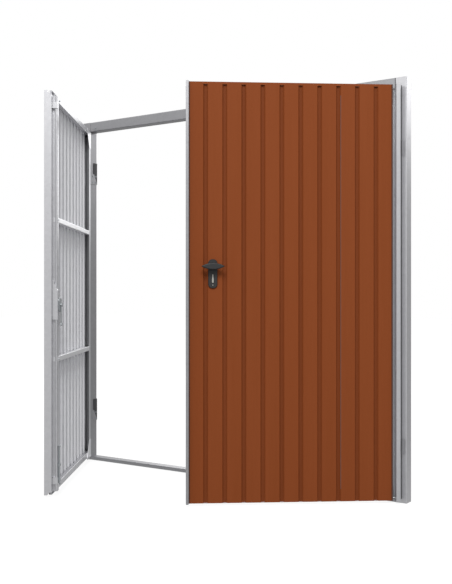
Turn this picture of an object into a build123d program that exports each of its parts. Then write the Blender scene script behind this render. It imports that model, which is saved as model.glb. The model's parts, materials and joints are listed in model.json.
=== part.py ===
"""Double side-hinged garage door: steel frame, two ribbed leaves, bolts and a turning handle.

Millimetres. X runs to the right as seen from outside, Y runs inward, Z is up.
The origin is the middle of the threshold's underside. The frame's front face is at -Y.
Each leaf is drawn closed, on the right, then mirrored where needed and swung open.
"""
import os
from math import hypot

from build123d import *

os.makedirs("parts", exist_ok=True)

# overall size
frame_width = 2150
frame_height = 2100

# frame tubes
jamb_face = 60
frame_depth = 60
header_height = 58
threshold_height = 20
tube_wall = 2
tube_corner = 4

# how far a cut runs past the face it opens
overcut = 1

# leaf depths, counted inward from the leaf's outer plane
leaf_clearance = 5
sheet_face = 25
groove_depth = 10
sheet_thickness = 1
stile_wall = 1.5
stile_tube_depth = 25
box_back = 31
lip_depth = 15
lip_slope = 12
rail_corner = 3

# leaf widths, counted from the leaf's own edge
overlap_on_jamb = 36.5
hinge_box_width = 20
hinge_strip = 12
meeting_box_width = 13
meeting_overhang = 35
meeting_tube_width = 30
hinge_tube_width = 49
centre_gap = 6
hinge_side_gap = 10

# leaf heights
overlap_on_header = 18
overlap_on_threshold = 6
tube_gap_top = 6
tube_gap_bottom = 8
end_rail_height = 30
bottom_rail_rise = 12
mid_rail_height = 26
mid_rail_levels = (698.672, 1407.496)
strap_length = 70
strap_thickness = 2
strap_inset = 2
strap_hook_gap = 3

# ribs
groove_count = 10
groove_width = 24
groove_floor = 12
first_groove = 96
hem_height = 12

# hinges
pin_radius = 4
pin_clearance = 0.05
knuckle_radius = 7
knuckle_clearance = 1
knuckle_cap = 6
pin_end_gap = 3
pin_from_face = 12
hinge_plate = 5
hinge_plate_inset = 2
hinge_pad_width = 28
hinge_arm = 4
hinge_lug = 8
hinge_fixed_height = 64
hinge_moving_height = 69
hinge_washer_gap = 1
lower_hinge_level = 242
upper_hinge_drop = 382
hinge_window_clearance = 6

# gusset plates in the hinge-side corners
gusset_reach = 70
gusset_drop = 110
gusset_thickness = 2
gusset_lip = 8

# rods of the passive leaf
rod_radius = 6
rod_clearance = 0.1
rod_hole_clearance = 3
rod_strap_clearance = 1
rod_from_back = 5
rod_retracted = 2
rod_end_from_lock = 20
guide_height = 32
guide_wall = 4
guide_back = 3
guide_gap = 1
guide_level_top = 65
guide_level_bottom = 40

# drop bolt of the passive leaf
bolt_radius = 5
bolt_length = 190
bolt_travel = 60
bolt_from_tube_edge = 9
bolt_stand_off = 1
bolt_knob_length = 26
bolt_reach = 12
bolt_hole_clearance = 4
bolt_guide_lift = 6
bolt_plate_length = 100
bolt_plate_thickness = 2
bolt_plate_inset = 1
bolt_loop_height = 12
bolt_loop_wall = 3
bolt_loop_levels = (4, 80)

# lock of the passive leaf
lock_level = 975
lock_plate_width = 91
lock_plate_low = 100
lock_plate_high = 75
lock_plate_slope = 50
lock_plate_thickness = 2
lock_case_width = 60
lock_case_height = 72
lock_case_depth = 7
lock_case_inset = 4
lock_case_corner = 16
lock_case_round = 3
lever_seat = 2
lever_seat_gap = 1
housing_low = 75
housing_high = 130
housing_slope = 56
lever_from_tube_edge = 32
lever_length = 100
lever_width = 16
lever_thickness = 4
lever_gap = 1
lever_boss_radius = 10

# handle of the active leaf
handle_level = 1163
handle_plate_width = 45
handle_plate_top = 35
handle_plate_bottom = 106
handle_plate_thickness = 9
handle_plate_corner = 20
handle_plate_bevel = 3
grip_length = 114
grip_height = 32
grip_thickness = 18
grip_stand_off = 22
grip_round = 5
neck_radius = 15
neck_seat = 2
neck_gap = 0.5
spindle_radius = 5
spindle_clearance = 0.1
spindle_reach = 20
spindle_seat = 0.5
sheet_hole_clearance = 1
cylinder_width = 14
cylinder_height = 42
cylinder_drop = 59
cylinder_proud = 3
inner_case_drop = 90
inner_case_rise = 50
inner_case_inset = 6
inner_case_reach = 26
inner_case_depth = 14
inner_case_round = 4
inner_knob_radius = 20
inner_knob_length = 28
inner_knob_round = 5

# anchor holes in the jambs
anchor_radius = 5.5
anchor_inset = 300

# how far each leaf stands open
right_open = 37.6
left_open = 57.2

# derived positions
half_width = frame_width / 2
half_opening = half_width - jamb_face
front = -frame_depth / 2
rear = frame_depth / 2
opening_top = frame_height - header_height
opening_bottom = threshold_height

sheet_back = sheet_face + groove_depth + sheet_thickness
strip_back = sheet_back + stile_wall
leaf_back = sheet_back + stile_tube_depth
outer_plane = front - leaf_clearance - strip_back

hinge_edge = half_opening + overlap_on_jamb
meeting_edge = centre_gap / 2
hinge_tube_edge = half_opening - hinge_side_gap
meeting_tube_edge = meeting_edge + meeting_overhang

leaf_top = opening_top + overlap_on_header
leaf_bottom = opening_bottom - overlap_on_threshold
tube_top = opening_top - tube_gap_top
tube_bottom = opening_bottom + tube_gap_bottom
rail_start = meeting_tube_edge + meeting_tube_width
rail_end = hinge_tube_edge - hinge_tube_width

sheet_start = meeting_edge + meeting_box_width
sheet_end = hinge_edge - hinge_box_width - hinge_strip
groove_pitch = (sheet_end - sheet_start - 2 * (first_groove - meeting_box_width)) / (groove_count - 1)

box_wall_face = hinge_edge - hinge_box_width + stile_wall
pin_from_edge = hinge_box_width - stile_wall - knuckle_clearance - knuckle_radius
pin_x = hinge_edge - pin_from_edge
pin_y = outer_plane + pin_from_face
upper_hinge_level = frame_height - upper_hinge_drop
anchor_levels = (anchor_inset, frame_height - anchor_inset)
rod_from_tube = strap_thickness + rod_strap_clearance + rod_radius
rod_x = meeting_tube_edge - rod_from_tube
rod_depth = leaf_back - rod_from_back
rod_y = outer_plane + rod_depth
rod_hole_radius = rod_radius + rod_hole_clearance
bolt_hole_radius = bolt_radius + bolt_hole_clearance
bolt_x = meeting_tube_edge + bolt_from_tube_edge
bolt_y = outer_plane + leaf_back + bolt_stand_off + bolt_radius
lever_x = meeting_tube_edge + lever_from_tube_edge
handle_x = meeting_edge + first_groove + groove_width / 2 + handle_plate_width / 2


def depth(distance):
    """Y of a point this far behind the leaf's outer plane."""
    return outer_plane + distance


def block(x_low, x_high, y_low, y_high, z_low, z_high):
    """Plain box between two corners."""
    size = Box(x_high - x_low, y_high - y_low, z_high - z_low)
    return Pos((x_low + x_high) / 2, (y_low + y_high) / 2, (z_low + z_high) / 2) * size


def post(x, y, radius, z_low, z_high):
    """Upright round bar."""
    return Pos(x, y, (z_low + z_high) / 2) * Cylinder(radius, z_high - z_low)


def along_y(x, z, radius, y_low, y_high):
    """Round bar that runs inward."""
    return Pos(x, (y_low + y_high) / 2, z) * Rot(90, 0, 0) * Cylinder(radius, y_high - y_low)


def prism(points, low, high, plane=Plane.XY):
    """Straight extrusion of an outline along the plane's normal."""
    outline = make_face(Polyline(*points, close=True).edges())
    return extrude(plane.offset(low) * outline, high - low)


def tube(width, height, length, wall, corner):
    """Rounded rectangular tube along Z, standing on the XY plane."""
    outside = RectangleRounded(width, height, corner)
    inside = RectangleRounded(width - 2 * wall, height - 2 * wall, corner - wall)
    return extrude(outside - inside, length)


def swing(shape, side, angle):
    """Turn a closed leaf's piece open about its hinge pin."""
    pivot = Location((side * pin_x, pin_y, 0))
    return pivot * Rot(0, 0, side * angle) * pivot.inverse() * shape


# frame

def jamb():
    middle = half_width - jamb_face / 2
    low_x = half_width - jamb_face
    body = Pos(middle, 0, 0) * tube(jamb_face, frame_depth, frame_height, tube_wall, tube_corner)
    for level in (0, frame_height - tube_wall):
        body += block(low_x + tube_wall, half_width - tube_wall, front + tube_wall, rear - tube_wall,
                      level, level + tube_wall)
    for level in anchor_levels:
        body -= Pos(middle, 0, level) * Rot(0, 90, 0) * Cylinder(anchor_radius, jamb_face + 2 * overcut)
    return body


def cross_tube(height, level):
    length = 2 * half_opening
    lying = tube(height, frame_depth, length, tube_wall, tube_corner)
    return Pos(-half_opening, 0, level + height / 2) * Rot(0, 90, 0) * lying


def keep_hole(x, y, radius, level):
    """Hole through one wall of a cross tube for the passive leaf's rod or bolt."""
    return post(-x, y, radius, level - overcut, level + tube_wall + overcut)


# leaf stiles

def mitred_ends(shape, x_low, x_high):
    """Cut a front box back to the tube's height behind its overlapping lip."""
    for end, limit, sign in ((tube_top, leaf_top, 1), (tube_bottom, leaf_bottom, -1)):
        beyond = limit + sign * overcut
        corner = [(depth(lip_depth), beyond), (depth(lip_depth), limit), (depth(lip_depth + lip_slope), end),
                  (depth(leaf_back), end), (depth(leaf_back), beyond)]
        shape -= prism(corner, x_low, x_high, Plane.YZ)
    return shape


def channel(x_low, x_high, y_low, y_high, z_low, z_high, wall):
    """Hollow box section with closed ends."""
    outside = block(x_low, x_high, y_low, y_high, z_low, z_high)
    inside = block(x_low + wall, x_high - wall, y_low + wall, y_high - wall, z_low + wall, z_high - wall)
    return outside - inside


def hinge_stile():
    wall = stile_wall
    inner = hinge_edge - hinge_box_width
    face = depth(sheet_back)
    box = channel(inner, hinge_edge, depth(0), depth(box_back), leaf_bottom, leaf_top, wall)
    box = mitred_ends(box, inner - overcut, hinge_edge + overcut)
    web = block(inner, inner + wall, depth(box_back - wall), depth(strip_back), tube_bottom, tube_top)
    strip = block(hinge_tube_edge - wall, inner + wall, face, depth(strip_back), tube_bottom, tube_top)
    rear_tube = channel(rail_end, hinge_tube_edge, face, depth(leaf_back), tube_bottom, tube_top, wall)
    mouth = block(rail_end - overcut, rail_end + 2 * wall, depth(sheet_back + wall), depth(leaf_back - wall),
                  tube_bottom + wall, tube_top - wall)
    body = box + web + strip + (rear_tube - mouth)
    for level in (lower_hinge_level, upper_hinge_level):
        z_low = level - hinge_window_clearance
        z_high = level + hinge_fixed_height + hinge_window_clearance
        past = depth(strip_back + overcut)
        body -= block(box_wall_face, hinge_edge + overcut, depth(wall), past, z_low, z_high)
        body -= block(hinge_tube_edge, box_wall_face, depth(sheet_back - overcut), past, z_low, z_high)
    return body


def meeting_stile():
    wall = stile_wall
    inner = meeting_edge + meeting_box_width
    face = depth(sheet_back)
    box = channel(meeting_edge, inner, depth(0), depth(strip_back), leaf_bottom, leaf_top, wall)
    box = mitred_ends(box, meeting_edge - overcut, inner + overcut)
    strip = block(inner - wall, meeting_tube_edge + wall, face, depth(strip_back), tube_bottom, tube_top)
    rear_tube = channel(meeting_tube_edge, rail_start, face, depth(leaf_back), tube_bottom, tube_top, wall)
    return box + strip + rear_tube


# ribbed sheet

def sheet_path():
    """Outer outline of the ribbed sheet, from the meeting edge to the hinge edge."""
    low = depth(sheet_face)
    deep = depth(sheet_face + groove_depth)
    points = [(sheet_start, depth(sheet_back)), (sheet_start, low)]
    for index in range(groove_count):
        middle = sheet_start + first_groove - meeting_box_width + index * groove_pitch
        points += [(middle - groove_width / 2, low), (middle - groove_floor / 2, deep),
                   (middle + groove_floor / 2, deep), (middle + groove_width / 2, low)]
    points += [(sheet_end, low), (sheet_end, depth(sheet_back))]
    return points


def inner_path(points, amount):
    """The same outline moved inward by the sheet's thickness, with mitred corners."""
    lines = []
    for (ax, ay), (bx, by) in zip(points, points[1:]):
        length = hypot(bx - ax, by - ay)
        nx, ny = -(by - ay) / length, (bx - ax) / length
        lines.append(((ax + nx * amount, ay + ny * amount), (bx + nx * amount, by + ny * amount)))
    result = [lines[0][0]]
    for (a, b), (c, d) in zip(lines, lines[1:]):
        run = (b[0] - a[0], b[1] - a[1])
        other = (d[0] - c[0], d[1] - c[1])
        cross = run[0] * other[1] - run[1] * other[0]
        share = ((c[0] - a[0]) * other[1] - (c[1] - a[1]) * other[0]) / cross
        result.append((a[0] + run[0] * share, a[1] + run[1] * share))
    result.append(lines[-1][1])
    return result


def ribbed_sheet():
    outer = sheet_path()
    inner = inner_path(outer, sheet_thickness)
    body = prism(outer + inner[::-1], leaf_bottom, leaf_top)
    face = depth(sheet_face)
    for level in (leaf_bottom, leaf_top - sheet_thickness):
        body += block(sheet_start, sheet_end, face, depth(sheet_back), level, level + sheet_thickness)
    return body + block(sheet_start, sheet_end, face, face + sheet_thickness, leaf_top - hem_height, leaf_top)


# rails and gussets

def rail(level, height):
    lying = Rot(0, 90, 0) * tube(height, stile_tube_depth, rail_end - rail_start, stile_wall, rail_corner)
    return Pos(rail_start, depth(sheet_back + stile_tube_depth / 2), level) * lying


def mid_rail(level):
    """Rail with a strap that runs over the meeting stile and hooks round its edge."""
    face = depth(leaf_back)
    low = level - mid_rail_height / 2 + strap_inset
    high = level + mid_rail_height / 2 - strap_inset
    edge = meeting_tube_edge - strap_thickness
    strap = block(edge, edge + strap_length, face, face + strap_thickness, low, high)
    hook = depth(strip_back + strap_hook_gap)
    tab = block(edge, meeting_tube_edge, hook, face + strap_thickness, low, high)
    return rail(level, mid_rail_height) + strap + tab


def gusset(corner_level, sign):
    """Three-cornered plate on the inner face where the hinge stile meets a rail."""
    reach = rail_end - gusset_reach
    end = corner_level - sign * gusset_drop
    lip = corner_level - sign * gusset_lip
    points = [(hinge_tube_edge, corner_level), (reach, corner_level), (reach, lip), (rail_end, end),
              (hinge_tube_edge, end)]
    return prism(points, -depth(leaf_back) - gusset_thickness, -depth(leaf_back), Plane.XZ)


# hinges

def hinge_fixed(level):
    """Half on the jamb: reveal plate, arm round the front edge, lug, knuckle and pin."""
    top = level + hinge_fixed_height
    reveal = half_opening
    back = rear - hinge_plate_inset
    body = block(reveal - hinge_plate, reveal, front - hinge_arm, back, level, top)
    pad_top = top + hinge_moving_height
    body += block(reveal - hinge_plate, reveal, back - hinge_pad_width, back, level, pad_top)
    body += block(reveal - hinge_plate, pin_x + hinge_lug / 2, front - hinge_arm, front, level, top)
    body += block(pin_x - hinge_lug / 2, pin_x + hinge_lug / 2, pin_y, front, level, top)
    body += post(pin_x, pin_y, knuckle_radius, level, top)
    pin_length = hinge_washer_gap + hinge_moving_height - knuckle_cap - pin_end_gap
    return body + post(pin_x, pin_y, pin_radius, top, top + pin_length)


def hinge_moving(level):
    """Half on the leaf: a knuckle that drops over the pin, welded to the stile's box."""
    low = level + hinge_fixed_height + hinge_washer_gap
    high = low + hinge_moving_height
    back = depth(box_back - stile_wall)
    body = block(box_wall_face, pin_x - pin_radius, depth(stile_wall), back, low, high)
    body += post(pin_x, pin_y, knuckle_radius, low, high)
    return body - post(pin_x, pin_y, pin_radius + pin_clearance, low - overcut, high - knuckle_cap)


# passive leaf's rods, guides, lock and drop bolt, drawn on the right and mirrored

def rod_top():
    return post(rod_x, rod_y, rod_radius, lock_level + rod_end_from_lock, tube_top - rod_retracted)


def rod_bottom():
    return post(rod_x, rod_y, rod_radius, tube_bottom + rod_retracted, lock_level - rod_end_from_lock)


def rod_box(low, high, slope):
    """Box on the tube's side that a rod slides through, its top sloping down inward."""
    reach = rod_from_tube + rod_radius + guide_wall
    near = depth(strip_back + guide_gap)
    far = rod_y + rod_radius + guide_back
    points = [(near, low), (far, low), (far, high - slope), (near, high)]
    body = prism(points, meeting_tube_edge - reach, meeting_tube_edge, Plane.YZ)
    return body - post(rod_x, rod_y, rod_radius + rod_clearance, low - overcut, high + overcut)


def lock_plate():
    """Plate with a sloping top edge on the inner face of the meeting stile."""
    low = lock_level - lock_plate_low
    high = lock_level + lock_plate_high
    points = [(meeting_tube_edge, low), (meeting_tube_edge + lock_plate_width, low),
              (meeting_tube_edge + lock_plate_width, high - lock_plate_slope), (meeting_tube_edge, high)]
    return prism(points, -depth(leaf_back) - lock_plate_thickness, -depth(leaf_back), Plane.XZ)


def lock_case():
    """Rounded lock body on the plate."""
    face = depth(leaf_back) + lock_plate_thickness
    outline = RectangleRounded(lock_case_width, lock_case_height, lock_case_corner)
    body = extrude(Plane.XZ * outline, -lock_case_depth)
    body = fillet(body.faces().sort_by(Axis.Y)[-1].edges(), lock_case_round)
    body = Pos(meeting_tube_edge + lock_case_inset + lock_case_width / 2, face, lock_level) * body
    hole_radius = spindle_radius + spindle_clearance
    hole_end = face + lock_case_depth + overcut
    return body - along_y(lever_x, lock_level, hole_radius, face + lever_seat, hole_end)


def lever():
    """Hanging bar that turns on the lock body."""
    face = depth(leaf_back) + lock_plate_thickness + lock_case_depth
    low = lock_level - lever_length
    bar = [(lever_x - lever_width / 2, lock_level), (lever_x + lever_width / 2, lock_level),
           (lever_x + lever_width / 3, low), (lever_x - lever_width / 3, low)]
    near = face + lever_gap
    body = prism(bar, -near - lever_thickness, -near, Plane.XZ)
    body += along_y(lever_x, low, lever_width / 2, near, near + 2 * lever_thickness)
    body += along_y(lever_x, lock_level, lever_boss_radius, near, near + 2 * lever_thickness)
    seat = face - lock_case_depth + lever_seat + lever_seat_gap
    return body + along_y(lever_x, lock_level, spindle_radius, seat, near)


def drop_bolt():
    low = opening_bottom + bolt_travel - bolt_reach
    body = post(bolt_x, bolt_y, bolt_radius, low, low + bolt_length)
    knob = Pos(bolt_x + bolt_knob_length / 2, bolt_y, low + bolt_length - bolt_radius) * Rot(0, 90, 0)
    return body + knob * Cylinder(bolt_radius, bolt_knob_length)


def bolt_guide():
    """Backing plate with two loops round the drop bolt."""
    face = depth(leaf_back)
    low = opening_bottom + bolt_travel - bolt_reach + bolt_guide_lift
    high = low + bolt_plate_length
    side = bolt_from_tube_edge - bolt_plate_inset
    loop_back = bolt_y + bolt_radius + bolt_loop_wall
    body = block(bolt_x - side, bolt_x + 2 * side, face, face + bolt_plate_thickness, low, high)
    for level in bolt_loop_levels:
        loop_low = low + level
        body += block(bolt_x - side, bolt_x + side, face, loop_back, loop_low, loop_low + bolt_loop_height)
    return body - post(bolt_x, bolt_y, bolt_radius + rod_clearance, low - overcut, high + overcut)


# active leaf's handle

def handle_plate():
    """Back plate with a rounded top and a bevelled face."""
    top = handle_level + handle_plate_top
    bottom = handle_level - handle_plate_bottom
    outline = RectangleRounded(handle_plate_width, top - bottom, handle_plate_corner)
    body = extrude(Plane.XZ * Pos(0, (top + bottom) / 2) * outline, handle_plate_thickness)
    body = chamfer(body.faces().sort_by(Axis.Y)[0].edges(), handle_plate_bevel)
    body = Pos(handle_x, depth(sheet_face), 0) * body
    hole_end = depth(sheet_face + overcut)
    return body - along_y(handle_x, handle_level, spindle_radius + spindle_clearance, depth(0), hole_end)


def lock_cylinder():
    """Key slot body below the grip."""
    face = depth(sheet_face - handle_plate_thickness)
    outline = Pos(0, handle_level - cylinder_drop) * SlotOverall(cylinder_height, cylinder_width, 90)
    body = extrude(Plane.XZ * outline, cylinder_proud)
    return Pos(handle_x, face, 0) * body


def grip():
    """Lens-shaped cross grip with its neck and spindle."""
    plate_face = depth(sheet_face - handle_plate_thickness)
    back = plate_face - grip_stand_off
    half = grip_length / 2
    outline = make_face([
        ThreePointArc((-half, 0), (0, grip_height / 2), (half, 0)),
        ThreePointArc((half, 0), (0, -grip_height / 2), (-half, 0)),
    ])
    bar = extrude(Plane.XZ * outline, grip_thickness)
    bar = fillet(bar.faces().sort_by(Axis.Y)[0].edges(), grip_round)
    body = Pos(handle_x, back, handle_level) * bar
    body += along_y(handle_x, handle_level, neck_radius, back - neck_seat, plate_face - neck_gap)
    spindle_start = plate_face - neck_gap - spindle_seat
    spindle_end = depth(leaf_back + spindle_reach)
    return body + along_y(handle_x, handle_level, spindle_radius, spindle_start, spindle_end)


def inner_lock_case():
    """Lock body behind the handle, on the inner face."""
    near = depth(leaf_back)
    far = near + inner_case_depth
    body = block(meeting_tube_edge + inner_case_inset, handle_x + inner_case_reach, near, far,
                 handle_level - inner_case_drop, handle_level + inner_case_rise)
    body = fillet(body.faces().sort_by(Axis.Y)[-1].edges(), inner_case_round)
    hole_radius = spindle_radius + spindle_clearance
    return body - along_y(handle_x, handle_level, hole_radius, near - overcut, far + overcut)


def inner_knob():
    """Turning knob on the inner end of the spindle."""
    start = depth(leaf_back) + inner_case_depth + neck_gap
    body = along_y(handle_x, handle_level, inner_knob_radius, start, start + inner_knob_length)
    body = fillet(body.faces().sort_by(Axis.Y)[-1].edges(), inner_knob_round)
    spindle_end = depth(leaf_back + spindle_reach)
    return body - along_y(handle_x, handle_level, spindle_radius, start - overcut, spindle_end)


def save(shape, name):
    solids = shape.solids()
    if len(solids) == 1:
        shape = solids[0]
    export_step(shape, "parts/" + name + ".step")
    return shape


def main():
    right_jamb = jamb()
    save(right_jamb, "jamb_right")
    save(mirror(right_jamb, Plane.YZ), "jamb_left")
    header = cross_tube(header_height, opening_top)
    save(header - keep_hole(rod_x, rod_y, rod_hole_radius, opening_top), "header")
    sill = cross_tube(threshold_height, 0)
    for x, y, radius in ((rod_x, rod_y, rod_hole_radius), (bolt_x, bolt_y, bolt_hole_radius)):
        sill -= keep_hole(x, y, radius, threshold_height - tube_wall)
    save(sill, "threshold")

    levels = {"lower": lower_hinge_level, "upper": upper_hinge_level}
    shared = {
        "hinge_stile": hinge_stile(),
        "meeting_stile": meeting_stile(),
        "sheet": ribbed_sheet(),
        "top_rail": rail(tube_top - end_rail_height / 2, end_rail_height),
        "bottom_rail": rail(tube_bottom + bottom_rail_rise + end_rail_height / 2, end_rail_height),
        "mid_rail_lower": mid_rail(mid_rail_levels[0]),
        "mid_rail_upper": mid_rail(mid_rail_levels[1]),
        "gusset_top": gusset(tube_top, 1),
        "gusset_bottom": gusset(tube_bottom, -1),
    }
    for place, level in levels.items():
        shared["hinge_half_" + place] = hinge_moving(level)
        fixed = hinge_fixed(level)
        save(fixed, "jamb_hinge_right_" + place)
        save(mirror(fixed, Plane.YZ), "jamb_hinge_left_" + place)

    right_only = {
        "handle_plate": handle_plate(),
        "lock_cylinder": lock_cylinder(),
        "grip": grip(),
        "inner_lock_case": inner_lock_case(),
        "inner_knob": inner_knob(),
    }
    top_guide_low = tube_top - guide_level_top
    bottom_guide_low = tube_bottom + guide_level_bottom
    left_only = {
        "rod_top": rod_top(),
        "rod_bottom": rod_bottom(),
        "rod_guide_top": rod_box(top_guide_low, top_guide_low + guide_height, 0),
        "rod_guide_bottom": rod_box(bottom_guide_low, bottom_guide_low + guide_height, 0),
        "lock_housing": rod_box(lock_level - housing_low, lock_level + housing_high, housing_slope),
        "lock_plate": lock_plate(),
        "lock_case": lock_case(),
        "lever": lever(),
        "drop_bolt": drop_bolt(),
        "bolt_guide": bolt_guide(),
    }
    hole_radius = spindle_radius + sheet_hole_clearance
    spindle_hole = along_y(handle_x, handle_level, hole_radius, depth(0), depth(leaf_back))
    right = dict(shared)
    right["sheet"] = shared["sheet"] - spindle_hole
    right.update(right_only)
    left = dict(shared)
    left.update(left_only)
    for name, shape in right.items():
        save(swing(shape, 1, right_open), "right_" + name)
    for name, shape in left.items():
        save(swing(mirror(shape, Plane.YZ), -1, left_open), "left_" + name)


main()
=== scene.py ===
# Side-hinged garage door: finishes, screws, seals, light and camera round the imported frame
import json
import math

import bmesh
import bpy
from mathutils import Matrix, Vector


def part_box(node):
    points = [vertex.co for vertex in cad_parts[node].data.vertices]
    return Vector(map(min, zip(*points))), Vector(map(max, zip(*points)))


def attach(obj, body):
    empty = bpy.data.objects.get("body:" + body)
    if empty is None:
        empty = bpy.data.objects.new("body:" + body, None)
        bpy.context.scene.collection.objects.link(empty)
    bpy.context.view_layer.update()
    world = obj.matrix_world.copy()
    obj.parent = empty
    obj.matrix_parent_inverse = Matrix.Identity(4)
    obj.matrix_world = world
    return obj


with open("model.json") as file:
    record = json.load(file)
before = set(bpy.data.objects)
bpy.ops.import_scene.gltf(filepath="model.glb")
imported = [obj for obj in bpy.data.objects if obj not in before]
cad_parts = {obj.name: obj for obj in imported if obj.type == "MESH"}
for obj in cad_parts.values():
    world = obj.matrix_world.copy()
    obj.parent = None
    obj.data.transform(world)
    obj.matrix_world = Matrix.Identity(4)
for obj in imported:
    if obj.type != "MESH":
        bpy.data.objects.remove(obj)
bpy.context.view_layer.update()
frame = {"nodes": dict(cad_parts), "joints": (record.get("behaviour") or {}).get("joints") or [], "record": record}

nodes = frame["nodes"]
joints = {joint["name"]: joint for joint in frame["joints"]}
print("frame loaded:", len(nodes), "nodes")

# a closed leaf, in metres: across from the door's middle, depth behind the leaf's outer plane
leafPlan = {
    "outerPlane": -0.0725,
    "bottom": 0.014,
    "top": 2.060,
    "sheetStart": 0.016,
    "sheetEnd": 1.0195,
    "sheetFace": 0.025,
    "sheetInside": 0.026,
    "innerFace": 0.061,
}
framePlan = {
    "openingHalf": 1.015,
    "outerSide": 1.075,
    "openingTop": 2.042,
    "front": -0.030,
    "back": 0.030,
}
leafSides = {
    "leaf_left": {"side": -1, "title": "left", "joint": joints["left_leaf_hinge"]},
    "leaf_right": {"side": 1, "title": "right", "joint": joints["right_leaf_hinge"]},
}


def linearColour(hexText):
    channels = [int(hexText[i:i + 2], 16) / 255 for i in (1, 3, 5)]
    return [c / 12.92 if c <= 0.04045 else ((c + 0.055) / 1.055) ** 2.4 for c in channels] + [1.0]


def addNode(tree, kind, inputs=None, **settings):
    node = tree.nodes.new(kind)
    for key, value in settings.items():
        setattr(node, key, value)
    for key, value in (inputs or {}).items():
        if isinstance(value, bpy.types.NodeSocket):
            tree.links.new(value, node.inputs[key])
        else:
            node.inputs[key].default_value = value
    return node


def startMaterial(name):
    material = bpy.data.materials.new(name)
    material.use_nodes = True
    material.node_tree.nodes.clear()
    return material, material.node_tree


def perMetre(millimetres):
    return 1000 / millimetres


def addRamp(tree, factor, settings, low, high):
    ramp = addNode(tree, "ShaderNodeValToRGB", {"Fac": factor})
    for index, colour in enumerate((low, high)):
        ramp.color_ramp.elements[index].position = settings["ramp"][index]
        ramp.color_ramp.elements[index].color = linearColour(settings[colour])
    return ramp


# depth of the finest surface texture in every finish, in metres
bumpDepth = 0.0005


def addBump(tree, height, strength):
    return addNode(tree, "ShaderNodeBump", {"Height": height, "Strength": strength, "Distance": bumpDepth})


def leafMatrix(body):
    leaf = leafSides[body]
    pin = Vector(leaf["joint"]["pos_m"])
    angle = math.radians(-leaf["joint"]["range_deg"][0]) * leaf["side"]
    return Matrix.Translation(pin) @ Matrix.Rotation(angle, 4, "Z") @ Matrix.Translation(-pin)


def leafPoint(body, across, depth, height):
    side = leafSides[body]["side"]
    return leafMatrix(body) @ Vector((side * across, leafPlan["outerPlane"] + depth, height))


def leafDirection(body, across, depth, height):
    side = leafSides[body]["side"]
    return leafMatrix(body).to_3x3() @ Vector((side * across, depth, height))


# hot-dip galvanised steel: grey zinc with faint crystals and a soft sheen
galvanised = {
    "name": "hotDipGalvanisedSteel",
    "palePatch": "#D8D8DB",
    "darkPatch": "#D3D3D6",
    "crystal": 14,
    "cloud": 220,
    "ramp": (0.3, 0.7),
    "metallic": 0.85,
    "smooth": 0.33,
    "dull": 0.36,
}
# the same zinc, darker as painted shade: header, threshold, left jamb and its hinges, right leaf's free edge,
# window covers
shadedGalvanised = dict(galvanised, name="shadedGalvanisedSteel", palePatch="#AEAEB1", darkPatch="#A9A9AC")
# the same zinc, darker as painted shade inside the hinge stiles' channels
channelShadeGalvanised = dict(galvanised, name="channelShadeGalvanisedSteel", palePatch="#929295", darkPatch="#8B8B8E")
# the same zinc, lighter as painted light: mid rails and gussets
litGalvanised = dict(galvanised, name="litGalvanisedSteel", palePatch="#F2F2F4", darkPatch="#EDEDF0")


def makeGalvanisedSteel(settings):
    material, tree = startMaterial(settings["name"])
    place = addNode(tree, "ShaderNodeTexCoord")
    crystals = addNode(tree, "ShaderNodeTexVoronoi",
                       {"Vector": place.outputs["Object"], "Scale": perMetre(settings["crystal"])})
    clouds = addNode(tree, "ShaderNodeTexNoise",
                     {"Vector": place.outputs["Object"], "Scale": perMetre(settings["cloud"]), "Detail": 3.0})
    blend = addNode(tree, "ShaderNodeMix", {0: 0.5, 6: crystals.outputs["Color"], 7: clouds.outputs["Color"]},
                    data_type="RGBA")
    shade = addRamp(tree, blend.outputs[2], settings, "darkPatch", "palePatch")
    rough = addNode(tree, "ShaderNodeMapRange", {"Value": blend.outputs[2], "To Min": settings["smooth"],
                                                 "To Max": settings["dull"]})
    surface = addNode(tree, "ShaderNodeBsdfPrincipled",
                      {"Base Color": shade.outputs["Color"], "Metallic": settings["metallic"],
                       "Roughness": rough.outputs["Result"]})
    addNode(tree, "ShaderNodeOutputMaterial", {"Surface": surface.outputs["BSDF"]})
    return material


# coil-coated sheet: an even polyester film over steel, with faint rolling lines along the ribs
coatedOutside = {
    "name": "brownPolyesterCoatedSheet",
    "deep": "#864523",
    "pale": "#8A4826",
    "patch": 90,
    "line": 7,
    "lineShare": 0.3,
    "stretch": 0.04,
    "ramp": (0.36, 0.64),
    "film": 1.5,
    "roughness": 0.6,
    "gloss": 0.06,
    "bump": 0.05,
}
# the same film, darker as painted shade on the grooves' floors
grooveShade = dict(coatedOutside, name="brownPolyesterGrooveShade", deep="#7B3F21", pale="#7F4223")
# matt grey backing coat on the sheet's inner face and cut edges
coatedInside = dict(coatedOutside, name="greyBackingCoat", deep="#C8C8CC", pale="#CBCBCF", patch=120, line=60,
                    roughness=0.8, gloss=0.0, bump=0.04)
# the same backing coat, lighter as painted light on the ribs' flanks
litFlanks = dict(coatedInside, name="greyBackingCoatLitFlanks", deep="#F0F0F3", pale="#F2F2F4")


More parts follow.
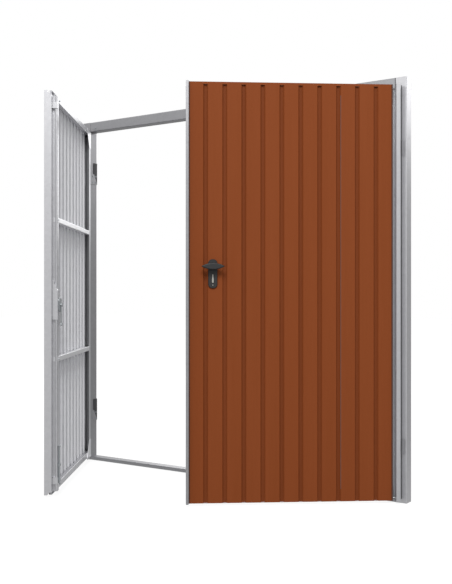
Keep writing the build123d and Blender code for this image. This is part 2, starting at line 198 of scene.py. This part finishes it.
def makeCoatedSheet(settings):
    material, tree = startMaterial(settings["name"])
    place = addNode(tree, "ShaderNodeTexCoord")
    along = addNode(tree, "ShaderNodeMapping",
                    {"Vector": place.outputs["Object"], "Scale": (1, 1, settings["stretch"])})
    patches = addNode(tree, "ShaderNodeTexNoise", {
        "Vector": along.outputs["Vector"], "Scale": perMetre(settings["patch"]), "Detail": 4.0})
    lines = addNode(tree, "ShaderNodeTexNoise",
                    {"Vector": along.outputs["Vector"], "Scale": perMetre(settings["line"]), "Detail": 2.0})
    film = addNode(tree, "ShaderNodeTexNoise",
                   {"Vector": place.outputs["Object"], "Scale": perMetre(settings["film"]), "Detail": 1.0})
    blend = addNode(tree, "ShaderNodeMix",
                    {0: settings["lineShare"], 2: patches.outputs["Fac"], 3: lines.outputs["Fac"]})
    shade = addRamp(tree, blend.outputs[0], settings, "deep", "pale")
    bump = addBump(tree, film.outputs["Fac"], settings["bump"])
    surface = addNode(tree, "ShaderNodeBsdfPrincipled",
                      {"Base Color": shade.outputs["Color"], "Roughness": settings["roughness"],
                       "Specular IOR Level": settings["gloss"], "Normal": bump.outputs["Normal"]})
    addNode(tree, "ShaderNodeOutputMaterial", {"Surface": surface.outputs["BSDF"]})
    return material


# plain finishes with one grain each: moulded plastic, plated metal, rubber, sealant
plainFinishes = {
    # glass-filled nylon, moulded with a fine spark texture
    "blackNylon": {"deep": "#1D1D1E", "pale": "#262627", "grain": 1.2, "metallic": 0.0,
                   "roughness": 0.5, "bump": 0.1},
    # nickel plate on a turned and brushed brass cylinder
    "nickelPlatedBrass": {"deep": "#BDBBB2", "pale": "#D0CEC6", "grain": 1.0, "metallic": 1.0,
                          "roughness": 0.28, "bump": 0.05},
    # bright zinc plate over pressed and turned steel
    "zincPlatedSteel": {"deep": "#A3A7AA", "pale": "#BABEC1", "grain": 3.0, "metallic": 0.8,
                        "roughness": 0.38, "bump": 0.08},
    # dark steel on the jamb hinges above their reveal plates
    "darkHingeSteel": {"deep": "#48484A", "pale": "#565658", "grain": 1.5, "metallic": 0.5,
                        "roughness": 0.5, "bump": 0.1},
    # dark brown edge seal of solid rubber, its dark colour also painted shade in the gap beside the edge boxes
    "brownRubberAndShade": {"deep": "#4A2C20", "pale": "#553426", "grain": 1.0, "metallic": 0.0,
                    "roughness": 0.7, "bump": 0.1},
    # charcoal sponge rubber of the frame's seals, its dark colour also painted shade beside the hinge boxes
    "charcoalRubberAndShade": {"deep": "#565658", "pale": "#606063", "grain": 1.5, "metallic": 0.0,
                       "roughness": 0.75, "bump": 0.15},
    # grey polyurethane joint sealant
    "greySealant": {"deep": "#5A5B5D", "pale": "#66676A", "grain": 2.0, "metallic": 0.0,
                    "roughness": 0.65, "bump": 0.1},
}


def makePlainFinish(name, settings):
    material, tree = startMaterial(name)
    place = addNode(tree, "ShaderNodeTexCoord")
    grain = addNode(tree, "ShaderNodeTexNoise",
                    {"Vector": place.outputs["Object"], "Scale": perMetre(settings["grain"]), "Detail": 2.0})
    shade = addNode(tree, "ShaderNodeMix", {0: grain.outputs["Fac"], 6: linearColour(settings["deep"]),
                                            7: linearColour(settings["pale"])}, data_type="RGBA")
    bump = addBump(tree, grain.outputs["Fac"], settings["bump"])
    surface = addNode(tree, "ShaderNodeBsdfPrincipled",
                      {"Base Color": shade.outputs[2], "Metallic": settings["metallic"],
                       "Roughness": settings["roughness"], "Normal": bump.outputs["Normal"]})
    addNode(tree, "ShaderNodeOutputMaterial", {"Surface": surface.outputs["BSDF"]})
    return material


galvanisedSteel = makeGalvanisedSteel(galvanised)
shadedSteel = makeGalvanisedSteel(shadedGalvanised)
channelShadeSteel = makeGalvanisedSteel(channelShadeGalvanised)
litSteel = makeGalvanisedSteel(litGalvanised)
brownSheet = makeCoatedSheet(coatedOutside)
brownGrooveShade = makeCoatedSheet(grooveShade)
greySheet = makeCoatedSheet(coatedInside)
greyLitFlanks = makeCoatedSheet(litFlanks)
finishes = {name: makePlainFinish(name, settings) for name, settings in plainFinishes.items()}
print("materials made")


def paint(node, *materials):
    mesh = nodes[node].data
    mesh.materials.clear()
    for material in materials:
        mesh.materials.append(material)
    for polygon in mesh.polygons:
        polygon.material_index = 0
    return mesh


# each node has the finish of its slot, apart from the ones named below
slotFinish = {
    "galvanised_steel": galvanisedSteel,
    "black_plastic": finishes["blackNylon"],
    "nickel_plated_brass": finishes["nickelPlatedBrass"],
    "zinc_plated_steel": finishes["zincPlatedSteel"],
}
for part in frame["record"]["subparts"]:
    if part["material_slot"] in slotFinish:
        paint(part["node"], slotFinish[part["material_slot"]])

# painted shade: the header, threshold, left jamb and right leaf's free edge take the darker zinc
for node in ("header", "threshold", "jamb_left", "right_meeting_stile"):
    paint(node, shadedSteel)
# painted light: the mid rails and gussets take the lighter zinc
for node in [name for name in nodes if "mid_rail" in name or "gusset" in name]:
    paint(node, litSteel)
paint("right_lock_cylinder", finishes["blackNylon"])

# the ribbed sheet is brown on its outer face only; its inner face and cut edges are grey
# (shares of each facet's normal that point outward, and the depth from which a flat is a groove's floor)
sheetZones = {"outside": 0.2, "flank": (-0.9, -0.2), "flat": 0.9, "grooveStart": 0.005}


# the inner ribs' flanks get painted light (slot 2) and the grooves' floors painted shade (slot 3)
def paintSheet(node, body, zones):
    mesh = paint(node, brownSheet, greySheet, greyLitFlanks, brownGrooveShade)
    outward = leafDirection(body, 0, -1, 0)
    face = leafPoint(body, 0, leafPlan["sheetFace"], 0).dot(outward)
    for polygon in mesh.polygons:
        outwardShare = polygon.normal.dot(outward)
        if outwardShare < zones["outside"]:
            polygon.material_index = 2 if zones["flank"][0] < outwardShare < zones["flank"][1] else 1
        elif outwardShare > zones["flat"] and polygon.center.dot(outward) < face - zones["grooveStart"]:
            polygon.material_index = 3


paintSheet("left_sheet", "leaf_left", sheetZones)
paintSheet("right_sheet", "leaf_right", sheetZones)

# the hinge stile's open channel is darkened with painted shade
channel = {"start": 0.9565, "end": 1.0045, "front": 0.0270, "back": 0.0600}
# and its narrow recess between the ribbed sheet and the hinge box carries painted shade
recess = {"start": 1.0000, "end": 1.0340, "front": 0.0355, "back": 0.0370}


def paintHingeStile(node, body):
    mesh = paint(node, galvanisedSteel, channelShadeSteel, shadedSteel)
    origin = leafPoint(body, 0, 0, 0)
    along, inward = leafDirection(body, 1, 0, 0), leafDirection(body, 0, 1, 0)
    for polygon in mesh.polygons:
        across, depth = (polygon.center - origin).dot(along), (polygon.center - origin).dot(inward)
        for index, zone in ((1, channel), (2, recess)):
            if zone["start"] < across < zone["end"] and zone["front"] < depth < zone["back"]:
                polygon.material_index = index


paintHingeStile("left_hinge_stile", "leaf_left")
paintHingeStile("right_hinge_stile", "leaf_right")

# the jamb hinge is dark steel above its reveal plate; the left jamb's hinges take the zinc with painted shade
hingePad = {"height": 0.064, "above": 0.0005, "reach": 1.0155}
for node in [name for name in nodes if name.startswith("jamb_hinge")]:
    mesh = paint(node, shadedSteel if "left" in node else galvanisedSteel, finishes["darkHingeSteel"])
    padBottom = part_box(node)[0].z + hingePad["height"] + hingePad["above"]
    for polygon in mesh.polygons:
        if polygon.center.z > padBottom and abs(polygon.center.x) < hingePad["reach"]:
            polygon.material_index = 1
print("frame nodes painted")


def finishPiece(name, mesh, body, material):
    piece = bpy.data.objects.new(name, mesh)
    bpy.context.scene.collection.objects.link(piece)
    if material:
        mesh.materials.clear()
        mesh.materials.append(material)
    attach(piece, body)


def finishShape(name, shape, body, material):
    mesh = bpy.data.meshes.new(name)
    bmesh.ops.recalc_face_normals(shape, faces=shape.faces)
    shape.to_mesh(mesh)
    shape.free()
    finishPiece(name, mesh, body, material)


def makeBars(name, boxes, bevel, place, body, material):
    shape = bmesh.new()
    for low, high in boxes:
        bar = bmesh.ops.create_cube(shape, size=1)
        for vertex in bar["verts"]:
            corner = [low[axis] if vertex.co[axis] < 0 else high[axis] for axis in range(3)]
            vertex.co = place(*corner)
    bmesh.ops.bevel(shape, geom=list(shape.edges), offset=bevel, segments=2, affect="EDGES")
    finishShape(name, shape, body, material)


def skinRings(shape, rings):
    for low, high in zip(rings, rings[1:]):
        for index in range(len(low)):
            after = (index + 1) % len(low)
            shape.faces.new((low[index], low[after], high[after], high[index]))
    shape.faces.new(rings[0])
    shape.faces.new(rings[-1])


def placedOnLeaf(body):
    return lambda across, depth, height: leafPoint(body, across, depth, height)


# rubber seal between the sheet and the raised box on each long edge of a leaf; its dark brown also stands for the
# shadow in that gap
# (on the left leaf's free edge it stops below the sloping end of the box)
edgeSeal = {"width": 0.0065, "proud": 0.003, "lift": 0.0001, "bevel": 0.001, "stopShort": 0.030}


def makeEdgeSeals(body, settings):
    front, back = leafPlan["sheetFace"] - settings["proud"], leafPlan["sheetFace"] - settings["lift"]
    freeStart, hingeEnd = leafPlan["sheetStart"], leafPlan["sheetEnd"]
    freeTop = leafPlan["top"] - (settings["stopShort"] if body == "leaf_left" else 0.0)
    boxes = [((start, front, leafPlan["bottom"]), (end, back, top))
             for start, end, top in ((freeStart, freeStart + settings["width"], freeTop),
                                     (hingeEnd - settings["width"], hingeEnd, leafPlan["top"]))]
    makeBars(body + "_edgeSeals", boxes, settings["bevel"], placedOnLeaf(body), body,
             finishes["brownRubberAndShade"])


for body in leafSides:
    makeEdgeSeals(body, edgeSeal)
print("edge seals made")

# charcoal sponge seal on the frame's front, behind each closed leaf's hinge box; its dark colour also stands for
# the shade beside the hinge box
frameSeal = {"start": 1.0460, "end": 1.0505, "proud": 0.003, "lift": 0.0001, "bevel": 0.001, "low": 0.020,
             "high": 2.058}


def makeFrameSeals(settings):
    for title, side in (("left", -1), ("right", 1)):
        box = ((settings["start"], framePlan["front"] - settings["proud"], settings["low"]),
               (settings["end"], framePlan["front"] - settings["lift"], settings["high"]))
        makeBars("frameSeal_" + title, [box], settings["bevel"], lambda x, y, z: Vector((side * x, y, z)),
                 "frame", finishes["charcoalRubberAndShade"])


makeFrameSeals(frameSeal)

# thin plate over each hinge window, in the strip beside the ribbed sheet, in the zinc with painted shade
windowCover = {"start": 1.0197, "end": 1.0313, "depth": 0.0355, "thickness": 0.0004, "bevel": 0.0001,
               "below": 0.016, "above": 0.080}


def makeWindowCovers(body, settings):
    boxes = []
    back = settings["depth"] + settings["thickness"]
    for node in sorted(name for name in nodes if name.startswith("jamb_hinge_" + leafSides[body]["title"])):
        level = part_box(node)[0].z
        boxes.append(((settings["start"], settings["depth"], level - settings["below"]),
                      (settings["end"], back, level + settings["above"])))
    makeBars(body + "_windowCovers", boxes, settings["bevel"], placedOnLeaf(body), body, shadedSteel)


for body in leafSides:
    makeWindowCovers(body, windowCover)
print("frame seals and window covers made")

# push-in steel caps in the jambs' anchor holes, flush with the tube
anchorCap = {"radius": 0.0054, "rim": 0.0006, "depth": 0.0018, "flush": 0.0001, "segments": 24,
             "levels": (0.3, 1.8)}


def makeAnchorCaps(name, side, material, settings):
    shape = bmesh.new()
    radius = settings["radius"]
    for face, outward in ((framePlan["outerSide"], side), (framePlan["openingHalf"], -side)):
        for level in settings["levels"]:
            middle = side * face - outward * (settings["flush"] + settings["depth"] / 2)
            turn = Matrix.Rotation(math.radians(90 * outward), 4, "Y")
            bmesh.ops.create_cone(shape, cap_ends=True, segments=settings["segments"], radius1=radius,
                                  radius2=radius - settings["rim"], depth=settings["depth"],
                                  matrix=Matrix.Translation((middle, 0, level)) @ turn)
    finishShape(name, shape, "frame", material)


# the left caps take the zinc with painted shade, like the left jamb
makeAnchorCaps("anchorCaps_left", -1, shadedSteel, anchorCap)
makeAnchorCaps("anchorCaps_right", 1, galvanisedSteel, anchorCap)
print("anchor caps made")

# bent end caps that close each leaf's edge boxes behind the overlapping lip
boxCaps = {
    "thickness": 0.0012,
    "lip": 0.0151,
    "slope": 0.0121,
    "boxes": ((0.0045, 0.0145, 0.0360), (1.0330, 1.0500, 0.0295)),
    "ends": ((2.0599, 2.0359, 1), (0.0141, 0.0281, -1)),
}


def makeBoxCaps(body, settings):
    shape = bmesh.new()
    lip, bend, thickness = settings["lip"], settings["lip"] + settings["slope"], settings["thickness"]
    for start, end, back in settings["boxes"]:
        for outer, inner, sign in settings["ends"]:
            down = sign * thickness
            outline = [(lip, outer), (bend, inner), (back, inner), (back, inner - down),
                       (bend - thickness / 2, inner - down), (lip - thickness, outer - down)]
            skinRings(shape, [[shape.verts.new(leafPoint(body, across, depth, height))
                               for depth, height in outline] for across in (start, end)])
    finishShape(body + "_boxCaps", shape, body, galvanisedSteel)


for body in leafSides:
    makeBoxCaps(body, boxCaps)
print("box caps made")

# bright key cover on the black lock cylinder below the grip, and a round screw head under it
keyCover = {"across": 0.1335, "bottom": 1.083, "face": 0.0132, "proud": 0.0012, "shoulder": 0.7, "top": 0.88}
keyHalf = ((0.0015, 0.0410), (0.0022, 0.0280), (0.0042, 0.0190), (0.0045, 0.0040), (0.0030, 0.0005))
keyScrew = {"radius": 0.0028, "height": 1.0725, "face": 0.0162, "sides": 20}


def raiseOutline(shape, body, outline, face, settings):
    middle = [sum(point[axis] for point in outline) / len(outline) for axis in (0, 1)]
    proud = settings["proud"]
    levels = ((face, 1.0), (face - proud * settings["shoulder"], 1.0), (face - proud, settings["top"]))
    rings = []
    for depth, share in levels:
        places = [[middle[axis] + (point[axis] - middle[axis]) * share for axis in (0, 1)]
                  for point in outline]
        rings.append([shape.verts.new(leafPoint(body, across, depth, height)) for across, height in places])
    skinRings(shape, rings)


def makeKeyCover(body, settings, half, screw):
    shape = bmesh.new()
    middle, radius = settings["across"], screw["radius"]
    right = [(middle + x, settings["bottom"] + z) for x, z in half]
    cover = right + [(2 * middle - x, z) for x, z in reversed(right)]
    turns = [2 * math.pi * step / screw["sides"] for step in range(screw["sides"])]
    head = [(middle + radius * math.cos(turn), screw["height"] + radius * math.sin(turn)) for turn in turns]
    raiseOutline(shape, body, cover, settings["face"], settings)
    raiseOutline(shape, body, head, screw["face"], settings)
    finishShape("keyCover", shape, body, finishes["nickelPlatedBrass"])


makeKeyCover("leaf_right", keyCover, keyHalf, keyScrew)
print("key cover made")


# Geometry Nodes: a tree's inputs are set by identifier, and its result becomes a plain mesh
def openTree(name, inputs):
    tree = bpy.data.node_groups.new(name, "GeometryNodeTree")
    tree.interface.new_socket("Geometry", in_out="INPUT", socket_type="NodeSocketGeometry")
    for title, kind in inputs.items():
        tree.interface.new_socket(title, in_out="INPUT", socket_type=kind)
    tree.interface.new_socket("Geometry", in_out="OUTPUT", socket_type="NodeSocketGeometry")
    return tree, addNode(tree, "NodeGroupInput")


def growMesh(name, source, tree, values):
    carrier = bpy.data.objects.new(name + "Source", source)
    bpy.context.scene.collection.objects.link(carrier)
    modifier = carrier.modifiers.new(name, "NODES")
    modifier.node_group = tree
    for item in tree.interface.items_tree:
        if item.in_out == "INPUT" and item.name in values:
            modifier[item.identifier] = values[item.name]
    evaluated = carrier.evaluated_get(bpy.context.evaluated_depsgraph_get())
    mesh = bpy.data.meshes.new_from_object(evaluated)
    mesh.name = name
    bpy.data.objects.remove(carrier)
    return mesh


# hexagon washer-head screws; a washer has this many sides
washerSides = 20
screwInputs = {
    "Head Width": "NodeSocketFloat",
    "Head Height": "NodeSocketFloat",
    "Washer Width": "NodeSocketFloat",
    "Washer Height": "NodeSocketFloat",
    "Seed": "NodeSocketInt",
    "Finish": "NodeSocketMaterial",
}


def buildScrewTree():
    tree, given = openTree("hexWasherScrews", screwInputs)
    half = [addNode(tree, "ShaderNodeMath", {0: given.outputs[title], 1: 0.5}, operation="MULTIPLY")
            for title in ("Head Width", "Washer Width", "Head Height", "Washer Height")]
    hexagon = addNode(tree, "GeometryNodeMeshCylinder",
                      {"Vertices": 6, "Radius": half[0].outputs[0], "Depth": given.outputs["Head Height"]})
    washer = addNode(tree, "GeometryNodeMeshCylinder",
                     {"Vertices": washerSides, "Radius": half[1].outputs[0],
                      "Depth": given.outputs["Washer Height"]})
    hexLift = addNode(tree, "ShaderNodeMath", {0: half[2].outputs[0], 1: given.outputs["Washer Height"]},
                      operation="ADD")
    hexShift = addNode(tree, "ShaderNodeCombineXYZ", {"Z": hexLift.outputs[0]})
    washerShift = addNode(tree, "ShaderNodeCombineXYZ", {"Z": half[3].outputs[0]})
    hexPlaced = addNode(tree, "GeometryNodeTransform",
                        {"Geometry": hexagon.outputs["Mesh"], "Translation": hexShift.outputs[0]})
    washerPlaced = addNode(tree, "GeometryNodeTransform",
                           {"Geometry": washer.outputs["Mesh"], "Translation": washerShift.outputs[0]})
    screw = addNode(tree, "GeometryNodeJoinGeometry", {"Geometry": hexPlaced.outputs["Geometry"]})
    tree.links.new(washerPlaced.outputs["Geometry"], screw.inputs["Geometry"])
    facing = addNode(tree, "GeometryNodeInputNamedAttribute", {"Name": "facing"}, data_type="FLOAT_VECTOR")
    aligned = addNode(tree, "FunctionNodeAlignRotationToVector", {"Vector": facing.outputs["Attribute"]},
                      axis="Z")
    turn = addNode(tree, "FunctionNodeRandomValue", {2: 0.0, 3: math.pi, "Seed": given.outputs["Seed"]},
                   data_type="FLOAT")
    spin = addNode(tree, "FunctionNodeAxisAngleToRotation", {"Axis": (0, 0, 1), "Angle": turn.outputs[1]})
    turned = addNode(tree, "FunctionNodeRotateRotation",
                     {"Rotation": aligned.outputs["Rotation"], "Rotate By": spin.outputs["Rotation"]},
                     rotation_space="LOCAL")
    placed = addNode(tree, "GeometryNodeInstanceOnPoints",
                     {"Points": given.outputs["Geometry"], "Instance": screw.outputs["Geometry"],
                      "Rotation": turned.outputs["Rotation"]})
    real = addNode(tree, "GeometryNodeRealizeInstances", {"Geometry": placed.outputs["Instances"]})
    finished = addNode(tree, "GeometryNodeSetMaterial",
                       {"Geometry": real.outputs["Geometry"], "Material": given.outputs["Finish"]})
    addNode(tree, "NodeGroupOutput", {"Geometry": finished.outputs["Geometry"]})
    return tree


screwSizes = {"Head Width": 0.007, "Head Height": 0.003, "Washer Width": 0.011, "Washer Height": 0.001,
              "Seed": 7}
screwTree = buildScrewTree()


def makeScrews(name, body, places):
    points = bpy.data.meshes.new(name + "Points")
    points.from_pydata([place for place, facing in places], [], [])
    attribute = points.attributes.new("facing", "FLOAT_VECTOR", "POINT")
    for index, (place, facing) in enumerate(places):
        attribute.data[index].vector = facing
    mesh = growMesh(name, points, screwTree, dict(screwSizes, Finish=finishes["zincPlatedSteel"]))
    finishPiece(name, mesh, body, None)


# one screw near each end of the header's front
headerScrews = {"across": 0.972, "height": 2.062}


def headerPlaces(settings):
    outward = Vector((0, -1, 0))
    return [(Vector((side * settings["across"], framePlan["front"], settings["height"])), outward)
            for side in (-1, 1)]


# four screws in each jamb hinge's plate on the reveal
plateScrews = {"plate": 0.005, "depths": (-0.012, 0.016), "inset": 0.014}


def hingePlaces(settings):
    places = []
    for node in sorted(name for name in nodes if name.startswith("jamb_hinge")):
        low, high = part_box(node)
        side = 1 if high.x > 0 else -1
        face = side * (framePlan["openingHalf"] - settings["plate"])
        for depth in settings["depths"]:
            for height in (settings["inset"], hingePad["height"] - settings["inset"]):
                places.append((Vector((face, depth, low.z + height)), Vector((-side, 0, 0))))
    return places


# one screw at the free end of each of a leaf's rails, on the inner face
leafScrews = {"endRail": 0.090, "midRail": 0.053, "strap": 0.002}


def leafPlaces(body, settings):
    inward = leafDirection(body, 0, 1, 0)
    places = []
    for rail in ("top_rail", "bottom_rail", "mid_rail_lower", "mid_rail_upper"):
        low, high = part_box(leafSides[body]["title"] + "_" + rail)
        isMid = "mid" in rail
        across = settings["midRail"] if isMid else settings["endRail"]
        depth = leafPlan["innerFace"] + (settings["strap"] if isMid else 0.0)
        places.append((leafPoint(body, across, depth, (low.z + high.z) / 2), inward))
    return places


makeScrews("frameScrews", "frame", headerPlaces(headerScrews))
makeScrews("hingePlateScrews", "frame", hingePlaces(plateScrews))
for body in leafSides:
    makeScrews(body + "_railScrews", body, leafPlaces(body, leafScrews))
print("screws made")

# a bead of sealant or a lapped edge that follows a path; its section has this many sides
beadSides = 10
beadInputs = {"Bead Width": "NodeSocketFloat", "Finish": "NodeSocketMaterial"}


def buildBeadTree():
    tree, given = openTree("beadAlongPath", beadInputs)
    half = addNode(tree, "ShaderNodeMath", {0: given.outputs["Bead Width"], 1: 0.5}, operation="MULTIPLY")
    path = addNode(tree, "GeometryNodeMeshToCurve", {"Mesh": given.outputs["Geometry"]})
    ring = addNode(tree, "GeometryNodeCurvePrimitiveCircle",
                   {"Resolution": beadSides, "Radius": half.outputs[0]})
    bead = addNode(tree, "GeometryNodeCurveToMesh",
                   {"Curve": path.outputs["Curve"], "Profile Curve": ring.outputs["Curve"],
                    "Fill Caps": True})
    real = addNode(tree, "GeometryNodeRealizeInstances", {"Geometry": bead.outputs["Mesh"]})
    finished = addNode(tree, "GeometryNodeSetMaterial",
                       {"Geometry": real.outputs["Geometry"], "Material": given.outputs["Finish"]})
    addNode(tree, "NodeGroupOutput", {"Geometry": finished.outputs["Geometry"]})
    return tree


beadTree = buildBeadTree()


def makeBead(name, body, paths, width):
    points, edges = [], []
    for path in paths:
        start = len(points)
        points += path
        edges += [(start + i, start + i + 1) for i in range(len(path) - 1)]
    source = bpy.data.meshes.new(name + "Path")
    source.from_pydata(points, edges, [])
    mesh = growMesh(name, source, beadTree, {"Bead Width": width, "Finish": finishes["greySealant"]})
    finishPiece(name, mesh, body, None)


# sealant round the header's ends, on the front, the underside and the back
headerJoint = {"width": 0.0022, "inset": 0.0004, "top": 2.098}


def jointPath(side, settings):
    x = side * (framePlan["openingHalf"] - settings["inset"])
    front, back = framePlan["front"], framePlan["back"] - settings["width"] / 2
    top, low = settings["top"], framePlan["openingTop"]
    corners = ((front, top), (front, low), (back, low), (back, top))
    return [Vector((x, depth, height)) for depth, height in corners]


makeBead("headerSealant", "frame", [jointPath(side, headerJoint) for side in (-1, 1)], headerJoint["width"])

# the line on the inner face where two widths of the ribbed sheet lap
sheetLap = {"width": 0.0022, "across": 0.762, "low": 0.075, "high": 2.003}
for body in leafSides:
    lapLine = [leafPoint(body, sheetLap["across"], leafPlan["sheetInside"], height)
               for height in (sheetLap["low"], sheetLap["high"])]
    makeBead(body + "_sheetLap", body, [lapLine], sheetLap["width"])
print("sealant and laps made")

# soft studio light: a pale room, brighter in front and above head height, with four soft boxes
roomSettings = {
    "front": (0.2, -0.98, 0.0),
    "facing": (0.35, 0.85),
    "rise": (0.08, 0.3),
    "fade": (0.6, 0.95),
    "frontLow": 0.56,
    "frontBand": 0.86,
    "backLow": 0.34,
    "backBand": 0.9,
    "overhead": 0.55,
}
# plain floor: white towards the camera with the object's soft shadow, a calm grey bounce for the object,
# and in the zinc's reflections the same light and dark as the room above it
floorSettings = {"size": 60.0, "sunk": 0.001, "seen": "#FFFFFF", "bounce": "#9A9A9A", "white": 1.08,
                 "whiteShare": 0.8, "fade": (-2.0, 2.5)}


def makeFloor(settings, room):
    half = settings["size"] / 2
    mesh = bpy.data.meshes.new("floor")
    corners = [(-half, -half, 0), (half, -half, 0), (half, half, 0), (-half, half, 0)]
    mesh.from_pydata(corners, [], [(0, 1, 2, 3)])
    floor = bpy.data.objects.new("floor", mesh)
    bpy.context.scene.collection.objects.link(floor)
    floor.location.z = -settings["sunk"]
    material, tree = startMaterial("paleStudioFloor")
    path = addNode(tree, "ShaderNodeLightPath")
    tone = addNode(tree, "ShaderNodeMix",
                   {0: path.outputs["Is Camera Ray"], 6: linearColour(settings["bounce"]),
                    7: linearColour(settings["seen"])}, data_type="RGBA")
    matt = addNode(tree, "ShaderNodeBsdfDiffuse", {"Color": tone.outputs[2]})
    white = addNode(tree, "ShaderNodeEmission", {"Color": (1, 1, 1, 1), "Strength": settings["white"]})
    share = addNode(tree, "ShaderNodeMath", {0: path.outputs["Is Camera Ray"], 1: settings["whiteShare"]},
                    operation="MULTIPLY")
    mixed = addNode(tree, "ShaderNodeMixShader", {0: share.outputs[0], 1: matt.outputs["BSDF"],
                                                  2: white.outputs["Emission"]})
    place = addNode(tree, "ShaderNodeTexCoord")
    axes = addNode(tree, "ShaderNodeSeparateXYZ", {0: place.outputs["Object"]})
    level = addNode(tree, "ShaderNodeMapRange",
                    {"Value": axes.outputs["Y"], "From Min": settings["fade"][0],
                     "From Max": settings["fade"][1], "To Min": room["frontLow"], "To Max": room["backLow"]},
                    interpolation_type="SMOOTHSTEP")
    mirrored = addNode(tree, "ShaderNodeEmission", {"Strength": level.outputs["Result"]})
    surface = addNode(tree, "ShaderNodeMixShader",
                      {0: path.outputs["Is Glossy Ray"], 1: mixed.outputs["Shader"],
                       2: mirrored.outputs["Emission"]})
    addNode(tree, "ShaderNodeOutputMaterial", {"Surface": surface.outputs["Shader"]})
    material.cycles.emission_sampling = "NONE"
    mesh.materials.append(material)


softBoxes = {
    "key": {"place": (3.6, -6.0, 6.6), "aim": (0.0, 0.0, 1.0), "size": (3.0, 2.6), "power": 390},
    "highFront": {"place": (-1.6, -7.6, 5.0), "aim": (0.6, 0.0, 1.4), "size": (3.6, 2.4), "power": 20},
    "backLeft": {"place": (-3.4, 6.5, 3.4), "aim": (-0.8, 0.0, 1.6), "size": (4.0, 3.0), "power": 52},
    "backRight": {"place": (3.2, 7.0, 4.8), "aim": (0.5, 0.0, 1.6), "size": (4.0, 3.0), "power": 62},
}


def makeRoom(settings):
    world = bpy.data.worlds.new("studioRoom")
    world.use_nodes = True
    tree = world.node_tree
    tree.nodes.clear()
    place = addNode(tree, "ShaderNodeTexCoord")
    axes = addNode(tree, "ShaderNodeSeparateXYZ", {0: place.outputs["Generated"]})
    toFront = addNode(tree, "ShaderNodeVectorMath", {0: place.outputs["Generated"], 1: settings["front"]},
                      operation="DOT_PRODUCT")
    facing, rise, fade = (
        addNode(tree, "ShaderNodeMapRange",
                {"Value": value, "From Min": settings[title][0], "From Max": settings[title][1]},
                interpolation_type="SMOOTHSTEP").outputs["Result"]
        for title, value in (("facing", toFront.outputs["Value"]), ("rise", axes.outputs["Z"]),
                             ("fade", axes.outputs["Z"])))
    low = addNode(tree, "ShaderNodeMix", {0: facing, 2: settings["backLow"], 3: settings["frontLow"]})
    band = addNode(tree, "ShaderNodeMix", {0: facing, 2: settings["backBand"], 3: settings["frontBand"]})
    wall = addNode(tree, "ShaderNodeMix", {0: rise, 2: low.outputs[0], 3: band.outputs[0]})
    level = addNode(tree, "ShaderNodeMix", {0: fade, 2: wall.outputs[0], 3: settings["overhead"]})
    path = addNode(tree, "ShaderNodeLightPath")
    room = addNode(tree, "ShaderNodeBackground", {"Color": (1, 1, 1, 1), "Strength": level.outputs[0]})
    white = addNode(tree, "ShaderNodeBackground", {"Color": (1, 1, 1, 1), "Strength": 1.0})
    mixed = addNode(tree, "ShaderNodeMixShader",
                    {0: path.outputs["Is Camera Ray"], 1: room.outputs["Background"],
                     2: white.outputs["Background"]})
    addNode(tree, "ShaderNodeOutputWorld", {"Surface": mixed.outputs["Shader"]})
    bpy.context.scene.world = world


def makeSoftBox(name, settings):
    lamp = bpy.data.lights.new(name, "AREA")
    lamp.shape = "RECTANGLE"
    lamp.size, lamp.size_y = settings["size"]
    lamp.energy = settings["power"]
    holder = bpy.data.objects.new(name, lamp)
    holder.location = settings["place"]
    aim = Vector(settings["aim"]) - Vector(settings["place"])
    holder.rotation_euler = aim.to_track_quat("-Z", "Y").to_euler()
    bpy.context.scene.collection.objects.link(holder)


makeFloor(floorSettings, roomSettings)
makeRoom(roomSettings)
for name, settings in softBoxes.items():
    makeSoftBox(name, settings)

# the photograph's viewpoint: level, at breast height, from the right
cameraSettings = {"place": (2.748, -4.107, 1.020), "turn": 33.926, "lens": 54.19, "sensor": 36,
                  "shiftUp": 0.0068}


def makeCamera(settings):
    camera = bpy.data.cameras.new("photoView")
    camera.lens = settings["lens"]
    camera.sensor_width = settings["sensor"]
    camera.shift_y = settings["shiftUp"]
    holder = bpy.data.objects.new("photoView", camera)
    holder.location = settings["place"]
    holder.rotation_euler = (math.radians(90), 0, math.radians(settings["turn"]))
    bpy.context.scene.collection.objects.link(holder)
    bpy.context.scene.camera = holder


makeCamera(cameraSettings)
bpy.context.scene.view_settings.view_transform = "Standard"
print("floor, light and camera set")
